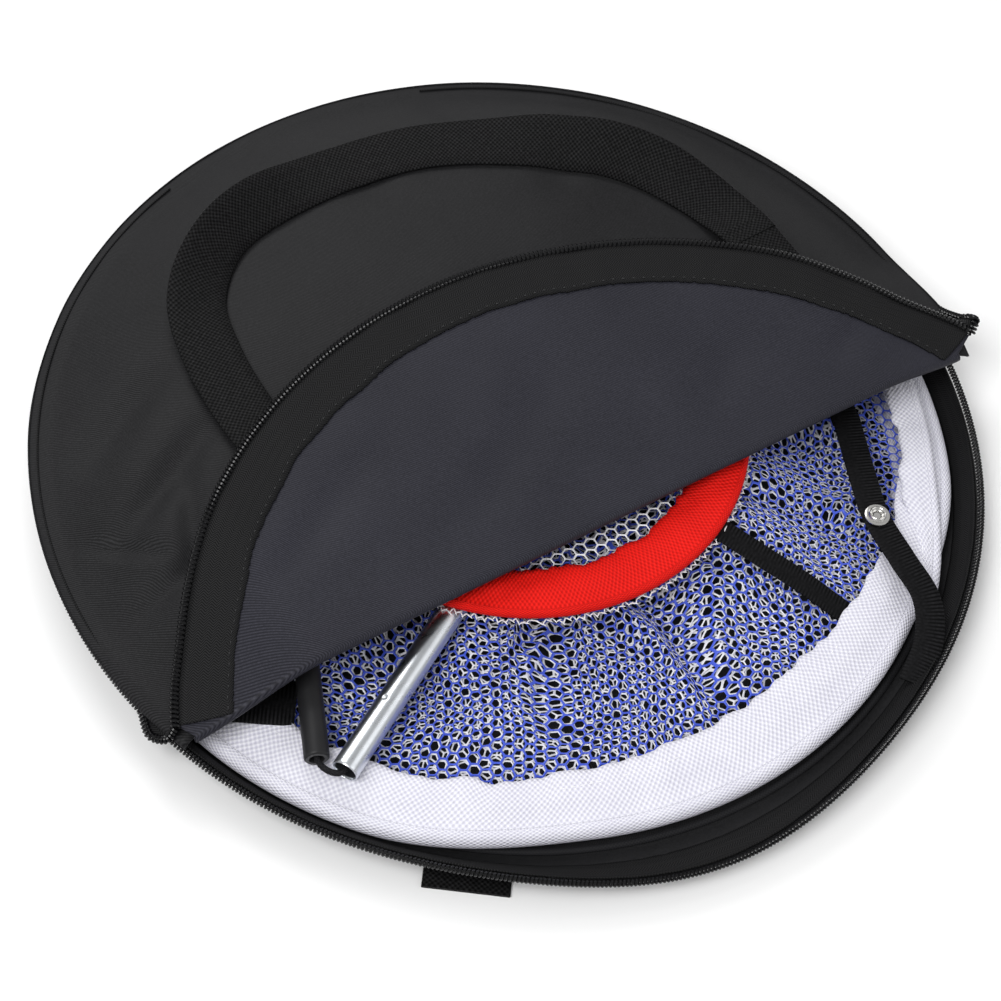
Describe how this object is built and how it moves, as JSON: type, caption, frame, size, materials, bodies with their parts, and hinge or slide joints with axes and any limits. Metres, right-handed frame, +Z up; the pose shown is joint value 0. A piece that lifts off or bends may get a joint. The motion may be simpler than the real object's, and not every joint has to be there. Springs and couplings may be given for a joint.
{
  "type": "chipping net",
  "caption": "Pop-up golf chipping net coiled flat inside its round zip bag, the front flap folded back, with carry handles, target ring, straps and pole sections.",
  "frame": {"origin": "centre of the round base where it stands on the floor", "axes": "+Z up; +X along the fold of the flap; -Y towards the open front of the bag"},
  "size_m": [0.4024, 0.3997, 0.0464],
  "materials": {
    "nylon": "matte woven nylon",
    "nylon_lining": "coated inner face of the nylon, faint sheen",
    "webbing": "ribbed woven webbing",
    "zip_tape": "herringbone woven tape",
    "zip_coil": "glossy nylon coil",
    "zip_metal": "black enamel",
    "white_oxford": "coarse woven white oxford",
    "blue_net": "knitted hexagonal net",
    "white_net": "knitted hexagonal net",
    "red_oxford": "ribbed woven red tape",
    "binding": "soft seam binding",
    "spring_steel": "blued spring wire",
    "nickel": "nickel plate",
    "zinc_steel": "bright zinc plate",
    "black_plastic": "matte glass-filled plastic",
    "elastic": "braided elastic cord"
  },
  "bodies": {
    "bag_and_net": {"base_panel": "nylon", "base_wall": "nylon", "base_seam_binding": "binding", "base_zip_tape": "zip_tape", "base_zip_coil": "zip_coil", "zip_stops": "nickel", "rear_hinge_strip": "nylon", "lower_handle_tabs": "webbing", "net_hem_lower": "white_oxford", "net_hem_upper": "white_oxford", "net_hem_bottom": "white_oxford", "spring_wire_lower": "spring_steel", "spring_wire_upper": "spring_steel", "spring_wire_bottom": "spring_steel", "white_mesh": "white_net", "blue_mesh": "blue_net", "red_hem": "red_oxford", "red_hem_wire": "spring_steel", "target_mesh": "white_net", "spacer_strap": "webbing", "side_strap": "webbing", "stud_tab": "webbing", "snap_stud": "nickel"},
    "lid": {"rear_lid": "nylon", "lid_zip_tape": "zip_tape", "lid_zip_coil": "zip_coil"},
    "flap": {"lid_flap": "nylon_lining", "flap_zip_tape": "zip_tape", "flap_zip_coil": "zip_coil", "handle_end_patches": "webbing"},
    "handle": {"carry_handle": "webbing"},
    "under_handle": {"lower_handle": "webbing"},
    "slider": {"zip_slider": "zip_metal"},
    "pull": {"zip_pull": "zip_metal"},
    "poles": {"steel_tube": "zinc_steel", "black_pole": "black_plastic", "pole_end_caps": "black_plastic", "shock_cord": "elastic"},
    "strap": {"snap_strap": "webbing", "snap_socket": "nickel", "snap_rivet": "nickel"}
  },
  "joints": [
    {"name": "lid_open", "type": "hinge", "parent": "bag_and_net", "child": "lid", "pos_m": [0, 0.2, 0.02], "axis": [-1, 0, 0], "range_deg": [0, 100]},
    {"name": "flap_fold", "type": "hinge", "parent": "lid", "child": "flap", "pos_m": [0, -0.0655, 0.0433], "axis": [-1, 0, 0], "range_deg": [-188.5, 0]},
    {"name": "handle_swing", "type": "hinge", "parent": "flap", "child": "handle", "pos_m": [0.01, 0.045, 0.0423], "axis": [1, 0, 0], "range_deg": [0, 90]},
    {"name": "under_handle_swing", "type": "hinge", "parent": "bag_and_net", "child": "under_handle", "pos_m": [0, -0.128, 0.00085], "axis": [-1, 0, 0], "range_deg": [0, 150]},
    {"name": "slider_travel", "type": "hinge", "parent": "bag_and_net", "child": "slider", "pos_m": [0, 0, 0.017], "axis": [0, 0, 1], "range_deg": [-160, 0]},
    {"name": "pull_swing", "type": "hinge", "parent": "slider", "child": "pull", "pos_m": [0.20139, -0.02117, 0.0166], "axis": [-0.1045, -0.9945, 0], "range_deg": [0, 150]},
    {"name": "poles_out", "type": "slide", "parent": "bag_and_net", "child": "poles", "axis": [-0.4067, -0.9136, 0], "range_m": [0, 0.25]},
    {"name": "strap_lift", "type": "hinge", "parent": "bag_and_net", "child": "strap", "pos_m": [0.129, -0.062, 0.0231], "axis": [-0.9191, 0.3939, 0], "range_deg": [0, 55]}
  ]
}
